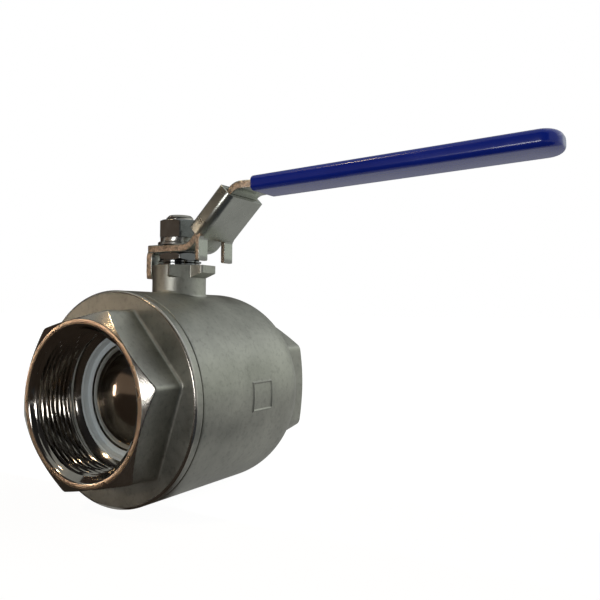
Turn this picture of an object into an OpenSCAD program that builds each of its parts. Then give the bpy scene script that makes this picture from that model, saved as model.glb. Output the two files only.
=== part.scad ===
// Two-piece floating ball valve with threaded ends and a locking lever.
// The pipe runs along Y, the stem stands along Z and the closed lever points
// along +X. The origin is on the pipe axis, where the full thread of the
// cap-side port begins.

/* [Pipe ends] */
// Distance from the cap-side port face to the stem axis
cap_len = 85; // [83:0.5:90]
// Distance from the stem axis to the body-side port face
body_len = 86; // [84:0.5:90]
// Radius of the pipe thread at its crests
thread_r = 41.8; // [41:0.1:42.5]
// Depth of the full thread measured from the port face
thread_depth = 28.5; // [27:0.5:28.5]
// Width across the flats of the wrench hexagons
hex_af = 100; // [99:0.5:102]
// Radius at which the hexagon corners are turned down
hex_corner_r = 56.4; // [55:0.1:57]
// Outer radius of the flat ring round each port
port_ring_r = 49.4; // [48.5:0.1:49.5]
// Angle by which the cap's hexagon is turned about the pipe
cap_hex_turn = 48; // [0:1:60]

/* [Body] */
// Outer radius of the barrel and of the cap's flange
barrel_r = 67; // [66:0.5:70]
// Distance from the stem axis to the start of the rounded shoulder
shoulder_y = 38; // [34:0.5:40]
// Radius of the rounded shoulder
shoulder_r = 35; // [34:0.5:36]
// Radius of the cavity that holds the ball
cavity_r = 57.5; // [57:0.1:58]
// Radius of the thread that joins cap and body
joint_r = 61; // [60.5:0.1:61.5]
// Outer radius of the stem neck
neck_r = 18.4; // [17.5:0.1:19]
// Height of the stem pad above the pipe axis
pad_z = 85.7; // [85:0.1:86]

/* [Ball and seats] */
// Radius of the ball
ball_r = 56; // [55.5:0.1:56]
// Radius of the port through the ball and the seats
port_r = 35; // [33:0.5:36]
// Radius of the passage between thread and seat
throat_r = 39.5; // [38:0.5:40]
// Outer radius of a seat ring
seat_r = 45; // [44:0.1:45.5]

/* [Stem] */
// Radius of the stem and of its thread
stem_r = 9; // [8.5:0.1:9.5]
// Width across the flats that drive the lever
stem_flat = 13; // [12:0.5:14]
// Height of the stem's top above the pipe axis
stem_top = 120.5; // [119:0.5:123]
// Thickness of the tang that turns the ball
tang_t = 12; // [10:0.5:13]

/* [Lever] */
// Thickness of the lever plate
lever_t = 5.2; // [4.5:0.1:5.4]
// Half of the lever's width at the stem and on the slope
lever_half = 13.7; // [13:0.1:14]
// Half of the plate's width inside the grip
grip_half = 12.1; // [11:0.1:12.5]
// Height of the lever's underside at the stem
lever_z = 94.9; // [94.8:0.1:95.2]
// Distance from the stem axis to the lower bend
low_bend_x = 18.9; // [18.5:0.1:19.5]
// Angle of the sloping part
slope = 45; // [44:1:46]
// Length of the sloping part between the bends
slope_len = 53.3; // [52.5:0.1:56]
// Angle by which the grip rises
grip_rise = 1.9; // [0:0.1:3]
// Distance from the stem axis to the tip of the grip
lever_reach = 252; // [230:1:270]

/* [Lock] */
// Thickness of the lock's sheet metal
sheet_t = 3.2; // [3:0.1:3.3]
// Clearance between the lock and the lever
lock_gap = 0.3; // [0.2:0.05:0.4]
// Length of the lock along the slope
lock_len = 36; // [30:0.5:36]
// Half of the gap between the two prongs
prong_gap = 9; // [8.8:0.1:9.4]

/* [Hidden] */
$fn = 96;
eps = 0.01;
wide = 60;                // cut sizes that clear the lever's width, height and length
tall = 80;
long = 300;
flat_cut = 20;
cap_gap = 0.1;            // radial play in the joint thread
seat_front = 47;          // seat pocket's end, measured from the ball centre
seat_open = 42.5;         // inner faces on either side of the ball
lip_y = 48.6;             // outer face of the lip in front of a seat
collar_r = 41;            // seat's collar, which lines the passage
seat_step = 45;           // seat's front face inside its collar
relief_r = 44.9;
flange_y = 60.5;          // front face of the cap's flange
joint_y = 54;             // flange meets the body
groove_w = 0.6;           // open groove round that joint
spigot_end = 42.5;
gasket_y = 41;
flange_bevel = 1.6;
shoulder_run = 30;        // length of the rounded shoulder along the pipe
mouth_chamfer = 4;
chamfer_rise = 0.55;      // height over width of the hexagon's turned face

ear_reach = 26.5;         // lock ears on the pad
ear_half = 7.8;
ear_root = 16.2;
stop_half = 6.3;          // stop lugs beside the ears
lug_reach = 24.1;
pad_under_z = 77.5;
pad_edge_z = 81.3;
pad_edge_r = 28.3;

stem_play = 0.06;
shoulder_top = 61;        // stem's blow-out shoulder
shoulder_base = 57.2;
step_z = 62.5;            // step in the neck above the thrust washer
stem_shoulder_r = 13;
ring_z = 65;              // centre of the stem's o-ring
groove_h = 3;
groove_r = 6.75;
o_ring_d = 2.2;
packing_z = 67.5;
packing_h = 4;
packing_r = 14;
follower_top = 86.2;
spring_h = 1.4;
spring_t = 0.9;
spring_r = 15;
pack_nut_z = 89.1;
pack_nut_h = 5.7;
nut_af = 27;
pack_nut_turn = 11.5;
handle_nut_turn = 9;
nut_face = 0.475;         // chamfer and collar radii over the width across flats
nut_collar = 0.465;
washer_t = 2;
lock_washer_t = 4.2;
handle_nut_h = 11;

bend_in = 8.5;            // inner radius of the lever's bends
bend_mid = bend_in + lever_t / 2;
tab_half = 6;             // stop tongue bent down behind the stem
tab_inner = 20.6;
tab_end_z = 77.4;
tab_bend_in = 2.5;
tab_root = 3;             // overlap of the tongue with the base plate
base_back = 17.4;
sleeve_t = 2.3;
sleeve_start = 69;
sleeve_play = 0.05;
neck_in_x = 62;           // lever narrows from here to the sleeve
narrow_len = 6.5;
tip_corner = 8;
tip_spare = 5;            // extra length that the plan view trims off

lever_mid_z = lever_z + lever_t / 2;
lever_top = lever_z + lever_t;
washer_z = lever_top + 0.02;
lock_washer_z = washer_z + washer_t + 0.02;
handle_nut_z = lock_washer_z + lock_washer_t + 0.02;
low_bend = [low_bend_x, lever_mid_z];
high_bend = low_bend + slope_len * [cos(slope), sin(slope)];
low_tan = bend_mid * tan(slope / 2);
high_tan = bend_mid * tan((slope - grip_rise) / 2);
grip_len = (lever_reach - sleeve_t - high_bend[0]) / cos(grip_rise);
lock_in = lever_t / 2 + lock_gap;
lock_out = lock_in + sheet_t;
lock_play = 1.2;          // gap on either side of the lever
lock_half = lever_half + lock_play + sheet_t;
lock_start = 12.4;
lock_flange = 8;          // lock's top flanges reach in to here
prong_x = 29;
prong_z = 88;
seat_face = (ball_r + 0.3) * sqrt(2);

steel = [0.52, 0.52, 0.48];
dark_steel = [0.38, 0.39, 0.38];
bright_steel = [0.72, 0.72, 0.72];
ptfe = [0.88, 0.92, 0.93];
vinyl = [0.06, 0.12, 0.5];

// Sub-part to draw

// Puts a shape drawn about the ball's centre in its place.
module at_ball() {
    translate([0, cap_len - mouth_chamfer, 0]) children();
}

// Turns a profile of (radius, y) about the pipe axis.
module turned() {
    rotate([-90, 0, 0]) rotate_extrude() children();
}

// Profile rectangle between two radii and two distances.
module band(r0, r1, y0, y1) {
    translate([r0, y0]) square([r1 - r0, y1 - y0]);
}

// Ring round the stem axis.
module ring(r_in, r_out, z, h) {
    difference() {
        translate([0, 0, z]) cylinder(r = r_out, h = h);
        translate([0, 0, z - 1]) cylinder(r = r_in, h = h + 2);
    }
}

// Wrench hexagon with its corners turned down; its face is at the far end.
module wrench_end(y0, y1, turn) {
    width = hex_corner_r - port_ring_r;
    intersection() {
        rotate([-90, 0, 0]) translate([0, 0, y0])
            rotate([0, 0, turn]) cylinder(d = hex_af / cos(30), h = y1 - y0, $fn = 6);
        turned() polygon([
            [0, y0],
            [hex_corner_r, y0],
            [hex_corner_r, y1 - width * chamfer_rise],
            [port_ring_r, y1],
            [0, y1]
        ]);
    }
}

// Everything bored out of one end, from the ball side out to the face.
module port_bore(face) {
    turned() {
        polygon([
            [0, face - thread_depth],
            [thread_r, face - thread_depth],
            [thread_r, face - mouth_chamfer],
            [thread_r + mouth_chamfer, face],
            [thread_r + mouth_chamfer, face + 1],
            [0, face + 1]
        ]);
        band(0, relief_r, lip_y, face - thread_depth + eps);
        band(0, collar_r + 0.05, seat_front - 1, lip_y + 1);
        band(0, seat_r + 0.05, seat_open - 1, seat_front);
    }
}

// Nut with both faces chamfered.
module hex_nut(af, h, hole_r, washer_face) {
    corner = af / 2 / cos(30);
    face_r = af * nut_face;
    cut = (corner - face_r) / 2;
    top = h - washer_face;
    difference() {
        union() {
            intersection() {
                cylinder(r = corner, h = top, $fn = 6);
                rotate_extrude() polygon([
                    [0, 0],
                    [face_r, 0],
                    [corner, cut],
                    [corner, top - cut],
                    [face_r, top],
                    [0, top]
                ]);
            }
            cylinder(r = af * nut_collar, h = h);
        }
        translate([0, 0, -1]) cylinder(r = hole_r, h = h + 2);
    }
}

// Half of the pad's outline: one lock ear and one stop lug.
module pad_half() {
    polygon([
        [0, 0],
        [stop_half, 0],
        [stop_half, -lug_reach],
        [ear_root, -ear_half],
        [ear_reach, -ear_half],
        [ear_reach, ear_half],
        [0, ear_half]
    ]);
}

// Stem pad with its sloping underside.
module pad() {
    intersection() {
        translate([0, 0, pad_under_z - 4]) linear_extrude(height = pad_z - pad_under_z + 4) {
            pad_half();
            mirror([1, -1]) pad_half();
        }
        union() {
            translate([0, 0, pad_under_z])
                cylinder(r1 = neck_r, r2 = pad_edge_r, h = pad_edge_z - pad_under_z);
            translate([0, 0, pad_edge_z - eps])
                cylinder(r = pad_edge_r + 2, h = pad_z - pad_edge_z + eps);
        }
    }
}

// Barrel, rounded shoulder and the body-side hexagon.
module body_outside() {
    shoulder_c = barrel_r - shoulder_r;
    shoulder_end = shoulder_y + shoulder_run;
    turned() {
        band(0, barrel_r, -joint_y + groove_w, shoulder_y);
        intersection() {
            translate([shoulder_c, shoulder_y]) circle(r = shoulder_r);
            band(0, barrel_r + 1, shoulder_y - 1, shoulder_end);
        }
        band(0, shoulder_c + 10, shoulder_y - 1, shoulder_end);
    }
    wrench_end(shoulder_y, body_len, 30);
    cylinder(r = neck_r, h = pad_z);
    pad();
}

module body() {
    color(steel) at_ball() difference() {
        body_outside();
        turned() {
            band(0, joint_r, -joint_y - 1, -gasket_y);
            band(0, cavity_r, -gasket_y - 1, seat_open);
        }
        port_bore(body_len);
        cylinder(r = stem_shoulder_r + 0.1, h = step_z);
        cylinder(r = stem_r + stem_play, h = packing_z + 1);
        translate([0, 0, packing_z]) cylinder(r = packing_r, h = pad_z);
    }
}

module end_cap() {
    color(steel) at_ball() mirror([0, 1, 0]) difference() {
        union() {
            wrench_end(flange_y - 1, cap_len, cap_hex_turn);
            turned() {
                polygon([
                    [0, joint_y],
                    [barrel_r, joint_y],
                    [barrel_r, flange_y - flange_bevel],
                    [barrel_r - flange_bevel * 2, flange_y],
                    [0, flange_y]
                ]);
                band(0, joint_r - cap_gap, spigot_end, joint_y + 1);
            }
        }
        port_bore(cap_len);
    }
}

module body_gasket() {
    color(ptfe) at_ball() turned()
        band(cavity_r + 0.1, joint_r - 0.1, -spigot_end + 0.05, -gasket_y - 0.05);
}

// Ball in its closed position: the port lies along X, the slot along Y.
module ball() {
    slot_w = tang_t + 0.3;
    slot_z = 47.9;
    color(bright_steel) at_ball() difference() {
        sphere(r = ball_r);
        rotate([0, 90, 0]) cylinder(r = port_r, h = 3 * ball_r, center = true);
        translate([-slot_w / 2, -ball_r, slot_z]) cube([slot_w, 2 * ball_r, ball_r]);
    }
}

// PTFE seat with a cone that meets the ball.
module seat_ring() {
    open_y = 38;
    turned() polygon([
        [port_r, seat_step],
        [throat_r, seat_step],
        [throat_r, lip_y - 0.1],
        [collar_r, lip_y - 0.1],
        [collar_r, seat_front - 0.02],
        [seat_r, seat_front - 0.02],
        [seat_r, open_y],
        [seat_face - open_y, open_y],
        [port_r, seat_face - port_r]
    ]);
}

module seat_ring_cap() {
    color(ptfe) at_ball() mirror([0, 1, 0]) seat_ring();
}

module seat_ring_body() {
    color(ptfe) at_ball() seat_ring();
}

module stem() {
    tang_z = 48.4;
    tang_half = 11;
    tip = 1.5;
    color(bright_steel) at_ball() {
        difference() {
            union() {
                rotate_extrude() {
                    band(0, stem_shoulder_r, shoulder_base, shoulder_top);
                    band(0, stem_r, shoulder_top - 1, ring_z - groove_h / 2);
                    band(0, groove_r, ring_z - 3, ring_z + 3);
                    band(0, stem_r, ring_z + groove_h / 2, stem_top - tip);
                    polygon([
                        [0, stem_top - tip - 1],
                        [stem_r, stem_top - tip - 1],
                        [stem_r, stem_top - tip],
                        [stem_r - tip, stem_top],
                        [0, stem_top]
                    ]);
                }
                translate([-tang_t / 2, -tang_half, tang_z])
                    cube([tang_t, 2 * tang_half, shoulder_base - tang_z + 1]);
            }
            for (side = [-1, 1])
                translate([-flat_cut, side * (stem_flat + flat_cut) / 2 - flat_cut / 2,
                    lever_z - 0.05]) cube([2 * flat_cut, flat_cut, 2 * flat_cut]);
        }
    }
}

module thrust_washer() {
    color(ptfe) at_ball() ring(stem_r + stem_play, stem_shoulder_r, shoulder_top + 0.05, 1.4);
}

module stem_o_ring() {
    color([0.08, 0.08, 0.08]) at_ball() translate([0, 0, ring_z])
        rotate_extrude() translate([groove_r + 0.03 + o_ring_d / 2, 0]) circle(d = o_ring_d);
}

// One V-section packing ring.
module packing_ring(place) {
    vee = 0.8;
    lift = packing_z + place * packing_h + 0.02;
    mid = (stem_r + packing_r) / 2;
    low = lift + (place > 0 ? vee : 0);
    high = lift + packing_h - 0.04;
    color(ptfe) at_ball() rotate_extrude() polygon([
        [stem_r + stem_play, lift],
        [mid, low],
        [packing_r - 0.03, lift],
        [packing_r - 0.03, high],
        [mid, high + vee],
        [stem_r + stem_play, high]
    ]);
}

module packing_lower() { packing_ring(0); }

module packing_middle() { packing_ring(1); }

module packing_upper() { packing_ring(2); }

module gland_follower() {
    base = packing_z + 3 * packing_h + 0.02;
    vee = 0.8;
    mid = (stem_r + packing_r) / 2;
    color(steel) at_ball() rotate_extrude() polygon([
        [stem_r + stem_play, base],
        [mid, base + vee],
        [packing_r - 0.05, base],
        [packing_r - 0.05, follower_top],
        [stem_r + stem_play, follower_top]
    ]);
}

// Coned disc spring; up is true when the inner edge is the high one.
module disc_spring(z, up) {
    a = up ? spring_h - spring_t : 0;
    b = up ? 0 : spring_h - spring_t;
    color(dark_steel) at_ball() rotate_extrude() polygon([
        [stem_r + 0.2, z + a],
        [spring_r, z + b],
        [spring_r, z + b + spring_t],
        [stem_r + 0.2, z + a + spring_t]
    ]);
}

module disc_spring_lower() { disc_spring(follower_top + 0.05, true); }

module disc_spring_upper() { disc_spring(follower_top + spring_h + 0.07, false); }

module packing_nut() {
    color(dark_steel) at_ball() translate([0, 0, pack_nut_z]) rotate([0, 0, pack_nut_turn])
        hex_nut(nut_af, pack_nut_h, stem_r + 0.05, 1.6);
}

// Straight length of lever plate, drawn in the side view.
module strip(from, angle, len) {
    translate(from) rotate(angle) translate([0, -lever_t / 2]) square([len, lever_t]);
}

// Bent length of lever plate, drawn in the side view.
module bend(centre, r_in, a0, a1) {
    far = 3 * (r_in + lever_t);
    translate(centre) intersection() {
        difference() {
            circle(r = r_in + lever_t);
            circle(r = r_in);
        }
        polygon([
            [0, 0],
            far * [cos(a0), sin(a0)],
            far * [cos((a0 + a1) / 2), sin((a0 + a1) / 2)],
            far * [cos(a1), sin(a1)]
        ]);
    }
}

// Side view of the plate from the stem to the tip.
module lever_side() {
    along = [cos(slope), sin(slope)];
    low_c = low_bend + [-low_tan, bend_mid];
    high_c = high_bend - high_tan * along + bend_mid * [sin(slope), -cos(slope)];
    strip([-base_back, lever_mid_z], 0, low_bend[0] - low_tan + base_back);
    bend(low_c, bend_in, -90, slope - 90);
    strip(low_bend + low_tan * along, slope, slope_len - low_tan - high_tan);
    bend(high_c, bend_in, 90 + grip_rise, 90 + slope);
    strip(high_bend + high_tan * [cos(grip_rise), sin(grip_rise)], grip_rise,
        grip_len - high_tan + tip_spare);
}

// Top view of a grip with rounded tip corners.
module grip_plan(x0, x1, half, corner) {
    translate([x0, -half]) square([x1 - corner - x0, 2 * half]);
    translate([x0, corner - half]) square([x1 - x0, 2 * (half - corner)]);
    for (side = [-1, 1])
        translate([x1 - corner, side * (half - corner)]) circle(r = corner);
}

// Top view of the whole lever without its stop tongue.
module lever_plan() {
    tip = lever_reach - sleeve_t;
    polygon([
        [-base_back, -lever_half],
        [neck_in_x, -lever_half],
        [neck_in_x + narrow_len, -grip_half],
        [neck_in_x + narrow_len, grip_half],
        [neck_in_x, lever_half],
        [-base_back, lever_half]
    ]);
    grip_plan(neck_in_x + narrow_len / 2, tip, grip_half, tip_corner);
}

// Stop tongue bent down behind the stem.
module stop_tab() {
    centre = [-tab_inner + tab_bend_in, lever_z - tab_bend_in];
    rotate([90, 0, 0]) linear_extrude(height = 2 * tab_half, center = true) {
        strip([centre[0], lever_mid_z], 0, tab_root);
        bend(centre, tab_bend_in, 90, 180);
        translate([-tab_inner - lever_t, tab_end_z]) square([lever_t, centre[1] - tab_end_z]);
    }
}

// Hole in the lever that fits the stem's flats.
module drive_hole() {
    intersection() {
        translate([0, 0, lever_z - 1]) cylinder(r = stem_r + 0.1, h = lever_t + 2);
        translate([-flat_cut, -stem_flat / 2 - 0.05, lever_z - 2])
            cube([2 * flat_cut, stem_flat + 0.1, lever_t + 4]);
    }
}

module lever() {
    color(steel) at_ball() difference() {
        union() {
            intersection() {
                rotate([90, 0, 0]) linear_extrude(height = wide, center = true) lever_side();
                translate([0, 0, lever_z - 5]) linear_extrude(height = tall) lever_plan();
            }
            stop_tab();
        }
        drive_hole();
    }
}

// Dipped grip, a closed sleeve round the plate's straight end.
module grip_sleeve() {
    grip_half_t = lever_t / 2 + sleeve_t;
    start = (sleeve_start - high_bend[0]) / cos(grip_rise);
    color(vinyl) at_ball() difference() {
        intersection() {
            rotate([90, 0, 0]) linear_extrude(height = wide, center = true)
                translate(high_bend) rotate(grip_rise)
                    translate([start, -grip_half_t]) square([long, 2 * grip_half_t]);
            translate([0, 0, lever_z]) linear_extrude(height = tall)
                grip_plan(sleeve_start - 20, lever_reach, grip_half + sleeve_t,
                    tip_corner + sleeve_t);
        }
        intersection() {
            rotate([90, 0, 0]) linear_extrude(height = wide, center = true)
                translate(high_bend) rotate(grip_rise)
                    translate([start - 9, -lever_t / 2 - sleeve_play])
                        square([long, lever_t + 2 * sleeve_play]);
            translate([0, 0, lever_z]) linear_extrude(height = tall) grip_plan(sleeve_start - 30,
                lever_reach - sleeve_t + sleeve_play, grip_half + sleeve_play, tip_corner);
        }
    }
}

// Rectangle with round corners, centred.
module round_rect(w, h, r) {
    square([w - 2 * r, h], center = true);
    square([w, h - 2 * r], center = true);
    for (sx = [-1, 1], sy = [-1, 1])
        translate([sx * (w / 2 - r), sy * (h / 2 - r)]) circle(r = r);
}

// Section of the lock: it wraps the plate and is open on top.
module lock_section() {
    difference() {
        round_rect(2 * lock_half, 2 * lock_out, sheet_t);
        square([2 * (lock_half - sheet_t), 2 * lock_in], center = true);
        translate([-lock_flange, 0]) square([2 * lock_flange, lock_out + 1]);
    }
}

// Side view of a prong, bent straight down from the lock's underside.
module prong_side() {
    polygon([
        [prong_x, prong_z],
        [prong_x + sheet_t, prong_z],
        [prong_x + sheet_t, prong_z + 15],
        [prong_x + 1, prong_z + 16],
        [prong_x, prong_z + 15]
    ]);
}

module lock_slide() {
    color(steel) at_ball() {
        translate([low_bend[0], 0, low_bend[1]]) rotate([0, -slope, 0])
            translate([lock_start, 0, 0]) rotate([90, 0, 90])
                linear_extrude(height = lock_len) lock_section();
        rotate([90, 0, 0]) for (side = [-1, 1])
            translate([0, 0, side * (lock_half + prong_gap) / 2])
                linear_extrude(height = lock_half - prong_gap, center = true) prong_side();
    }
}

module plain_washer() {
    color(bright_steel) at_ball() ring(stem_r + 0.25, 15, washer_z, washer_t);
}

// Split lock washer.
module spring_washer() {
    slit = 1.2;
    color(dark_steel) at_ball() difference() {
        ring(stem_r + 0.2, 13.4, lock_washer_z, lock_washer_t);
        rotate([0, 0, 200]) translate([0, -slit / 2, lock_washer_z - 1])
            cube([20, slit, lock_washer_t + 2]);
    }
}

module handle_nut() {
    color(dark_steel) at_ball() translate([0, 0, handle_nut_z]) rotate([0, 0, handle_nut_turn])
        hex_nut(nut_af, handle_nut_h, stem_r + 0.05, 0);
}

body();
end_cap();
body_gasket();
ball();
seat_ring_cap();
seat_ring_body();
stem();
thrust_washer();
stem_o_ring();
packing_lower();
packing_middle();
packing_upper();
gland_follower();
disc_spring_lower();
disc_spring_upper();
packing_nut();
lever();
grip_sleeve();
lock_slide();
plain_washer();
spring_washer();
handle_nut();
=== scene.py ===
import math

import bmesh
import bpy
from mathutils import Matrix, Vector


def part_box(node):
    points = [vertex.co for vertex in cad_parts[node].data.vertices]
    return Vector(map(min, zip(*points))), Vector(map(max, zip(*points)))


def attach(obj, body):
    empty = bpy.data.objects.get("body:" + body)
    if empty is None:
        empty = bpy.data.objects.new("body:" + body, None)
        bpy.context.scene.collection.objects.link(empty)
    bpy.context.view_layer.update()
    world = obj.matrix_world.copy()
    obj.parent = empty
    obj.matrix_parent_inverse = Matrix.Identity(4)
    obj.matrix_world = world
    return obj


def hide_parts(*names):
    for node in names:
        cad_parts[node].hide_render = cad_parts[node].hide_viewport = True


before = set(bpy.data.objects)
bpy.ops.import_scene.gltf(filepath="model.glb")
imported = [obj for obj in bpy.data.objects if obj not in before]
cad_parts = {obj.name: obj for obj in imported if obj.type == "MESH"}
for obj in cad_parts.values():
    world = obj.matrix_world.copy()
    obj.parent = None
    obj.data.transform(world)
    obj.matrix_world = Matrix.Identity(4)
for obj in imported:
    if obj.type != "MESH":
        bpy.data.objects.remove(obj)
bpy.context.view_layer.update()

scene = bpy.context.scene
LOW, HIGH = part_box("ball")
MIDDLE = (LOW + HIGH) / 2          # the ball's centre; every shape below is drawn about it, in mm
TAU = 2 * math.pi


def cad(node):
    """A CAD node's box about the ball's centre, in mm."""
    a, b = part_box(node)
    return (a - MIDDLE) * 1000, (b - MIDDLE) * 1000


# ---------------------------------------------------------------- sizes

CAP_LO, CAP_HI = cad("end_cap")
BODY_HI = cad("body")[1]
SLEEVE_LO, SLEEVE_HI = cad("grip_sleeve")
NUT_LO, NUT_HI = cad("handle_nut")
PACK_LO, PACK_HI = cad("packing_nut")
SPLIT_LO, SPLIT_HI = cad("spring_washer")
PLAIN_LO, PLAIN_HI = cad("plain_washer")
STEM_TOP = cad("stem")[1].z

# Along the pipe, as distances from the ball's centre.
CAP_FACE = -CAP_LO.y
BODY_FACE = BODY_HI.y
FLANGE_Y = 60.5         # outer face of the cap's flange
JOINT_Y = 54.0          # where the cap meets the body
GROOVE = 0.6            # gap that shows at the joint
LIP_Y = 48.6            # front of the lip round a seat
SEAT_Y = 47.0           # outer face of a seat
SEAT_STEP = 45.0        # where a seat's collar begins
SHOULDER_Y = 38.0       # where the barrel starts to round off

# About the pipe and the stem.
BARREL_R = CAP_HI.z
PAD_TOP = BODY_HI.z
BALL_R = (HIGH.y - LOW.y) * 500
PORT_R = 35.0
CREST_R = 41.8          # crest of the pipe thread
THREAD_H = 2.45         # height of the drawn thread
PITCH = 25.4 / 8
THREAD_LEN = 31.0       # depth of the thread from its face
RELIEF_R = 44.9
COLLAR_R = 41.0
THROAT_R = 39.5
HEX_AF = 100.0          # wrench hexagon, across flats
HEX_SOFT = 2.0          # rounding of the cap hexagon's corners
RING_R = 49.4           # turned ring round a port
CONE_SLOPE = 0.55       # how the hexagon's corners are turned back from the ring
SHOULDER_R = 35.0
NECK_R = 18.4

# The lever is a plate with two bends. Its path lies in the plane y = 0.
LEVER_T = 5.2
LEVER_Z = 94.9
LEVER_MID = LEVER_Z + LEVER_T / 2
LEVER_HALF = 13.7
LEVER_BACK = -17.4
GRIP_HALF = 12.1
SLEEVE_T = 2.3
TIP_X = SLEEVE_HI.x - SLEEVE_T
TIP_R = 8.0             # rounding of the plate's far end
BEND_R = 8.5 + LEVER_T / 2
BEND_STEPS = 12
SLOPE = math.radians(45)
RISE = math.radians(1.9)
LOW_BEND = Vector((18.9, 0, LEVER_MID))
SLOPE_LEN = 53.3
ALONG = Vector((math.cos(SLOPE), 0, math.sin(SLOPE)))
BELOW = Vector((math.sin(SLOPE), 0, -math.cos(SLOPE)))      # square to the slope, away from the hand
GRIP_DIR = Vector((math.cos(RISE), 0, math.sin(RISE)))
HIGH_BEND = LOW_BEND + SLOPE_LEN * ALONG

# The lock is bent from sheet and wraps the slope.
SHEET = 3.2
LOCK_GAP = 0.3
LOCK_PLAY = 1.2
LOCK_HALF = LEVER_HALF + LOCK_PLAY + SHEET
LOCK_START, LOCK_LEN = 12.4, 36.0


# ---------------------------------------------------------------- materials

def noise(tree, scale, detail, roughness=0.5):
    """Noise over the object's own coordinates."""
    coordinates = tree.nodes.new("ShaderNodeTexCoord")
    node = tree.nodes.new("ShaderNodeTexNoise")
    node.inputs["Scale"].default_value = scale
    node.inputs["Detail"].default_value = detail
    node.inputs["Roughness"].default_value = roughness
    tree.links.new(coordinates.outputs["Object"], node.inputs["Vector"])
    return node.outputs["Fac"]


def stretched(tree, value, low, high, to_low, to_high):
    """A value from low to high, made to run from to_low to to_high."""
    node = tree.nodes.new("ShaderNodeMapRange")
    node.inputs["From Min"].default_value = low
    node.inputs["From Max"].default_value = high
    node.inputs["To Min"].default_value = to_low
    node.inputs["To Max"].default_value = to_high
    tree.links.new(value, node.inputs["Value"])
    return node.outputs["Result"]


def bump(tree, height, distance, below=None):
    """A bump of so many metres, on top of the one below."""
    node = tree.nodes.new("ShaderNodeBump")
    node.inputs["Strength"].default_value = 1.0
    node.inputs["Distance"].default_value = distance
    tree.links.new(height, node.inputs["Height"])
    if below:
        tree.links.new(below, node.inputs["Normal"])
    return node.outputs["Normal"]


def material(name, colour, metal, rough, spots, spot_scale, grain=0.0, grain_scale=900.0,
             rough_var=0.0, coat=0.0, dents=0.0, specks=0.0):
    """Shader with mottled colour and roughness, and a fine bump."""
    m = bpy.data.materials.new(name)
    m.use_nodes = True
    tree = m.node_tree
    shader = tree.nodes["Principled BSDF"]
    shader.inputs["Metallic"].default_value = metal
    shader.inputs["Roughness"].default_value = rough
    shader.inputs["IOR"].default_value = 1.5
    shader.inputs["Coat Weight"].default_value = coat
    shader.inputs["Coat Roughness"].default_value = 0.06
    mottle = noise(tree, spot_scale, 5, 0.6)
    ramp = tree.nodes.new("ShaderNodeValToRGB")
    dark, light = ramp.color_ramp.elements
    dark.position, light.position = 0.32, 0.68
    dark.color = (*(c * (1 - spots) for c in colour), 1)
    light.color = (*colour, 1)
    tree.links.new(mottle, ramp.inputs["Fac"])
    paint = ramp.outputs["Color"]
    if specks:
        shaded = tree.nodes.new("ShaderNodeVectorMath")
        shaded.operation = "SCALE"
        tree.links.new(paint, shaded.inputs[0])
        shade = stretched(tree, noise(tree, 330, 4, 0.7), 0.30, 0.50, 1 - specks, 1.0)
        tree.links.new(shade, shaded.inputs["Scale"])
        paint = shaded.outputs["Vector"]
    tree.links.new(paint, shader.inputs["Base Color"])
    if rough_var:
        varied = stretched(tree, mottle, 0.3, 0.7, max(rough - rough_var, 0.02), rough + rough_var)
        tree.links.new(varied, shader.inputs["Roughness"])
    normal = bump(tree, noise(tree, grain_scale, 3), grain) if grain else None
    if dents:
        normal = bump(tree, noise(tree, 140, 2), dents, normal)
    if normal:
        tree.links.new(normal, shader.inputs["Normal"])
    return m


CAST = material("cast_steel", (0.56, 0.56, 0.505), 1, 0.42, 0.36, 26, 0.00008, 1500,
                rough_var=0.08, dents=0.00014, specks=0.22)
MACHINED = material("machined_steel", (0.64, 0.61, 0.56), 1, 0.20, 0.10, 90, 0.00002, 1200,
                    rough_var=0.05)
RING = material("faced_steel", (0.72, 0.56, 0.43), 1, 0.30, 0.14, 120, 0.00002, 1500,
                rough_var=0.05)
THREAD = material("thread_steel", (0.52, 0.49, 0.45), 1, 0.11, 0.15, 110, rough_var=0.03)
POLISHED = material("polished_steel", (0.50, 0.45, 0.39), 1, 0.11, 0.06, 60, rough_var=0.02)
SHEET_STEEL = material("sheet_steel", (0.54, 0.555, 0.51), 1, 0.27, 0.16, 70, 0.00003, 1400,
                       rough_var=0.05, dents=0.00006)
SHEARED = material("sheared_edge", (0.96, 0.75, 0.58), 1, 0.40, 0.60, 620, 0.0005, 800,
                   rough_var=0.10)
NUT_STEEL = material("nut_steel", (0.33, 0.34, 0.35), 1, 0.13, 0.15, 150, 0.00003, 700,
                     rough_var=0.05)
BRIGHT = material("bright_steel", (0.66, 0.65, 0.62), 1, 0.24, 0.10, 120, 0.00002, 900,
                  rough_var=0.04)
PTFE = material("ptfe", (0.88, 0.96, 0.99), 0, 0.38, 0.06, 50, 0.00002, 500, rough_var=0.05)
RUBBER = material("black_rubber", (0.02, 0.02, 0.02), 0, 0.6, 0.2, 80, 0.00003, 600,
                  rough_var=0.05)
VINYL = material("blue_vinyl", (0.005, 0.030, 0.45), 0, 0.24, 0.12, 30, 0.00003, 260,
                 rough_var=0.04, coat=0.40, dents=0.00003)


# ---------------------------------------------------------------- mesh tools

def place(p):
    """A point in mm about the ball's centre, in metres in the shared frame."""
    return (MIDDLE.x + p[0] / 1000, MIDDLE.y + p[1] / 1000, MIDDLE.z + p[2] / 1000)


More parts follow.
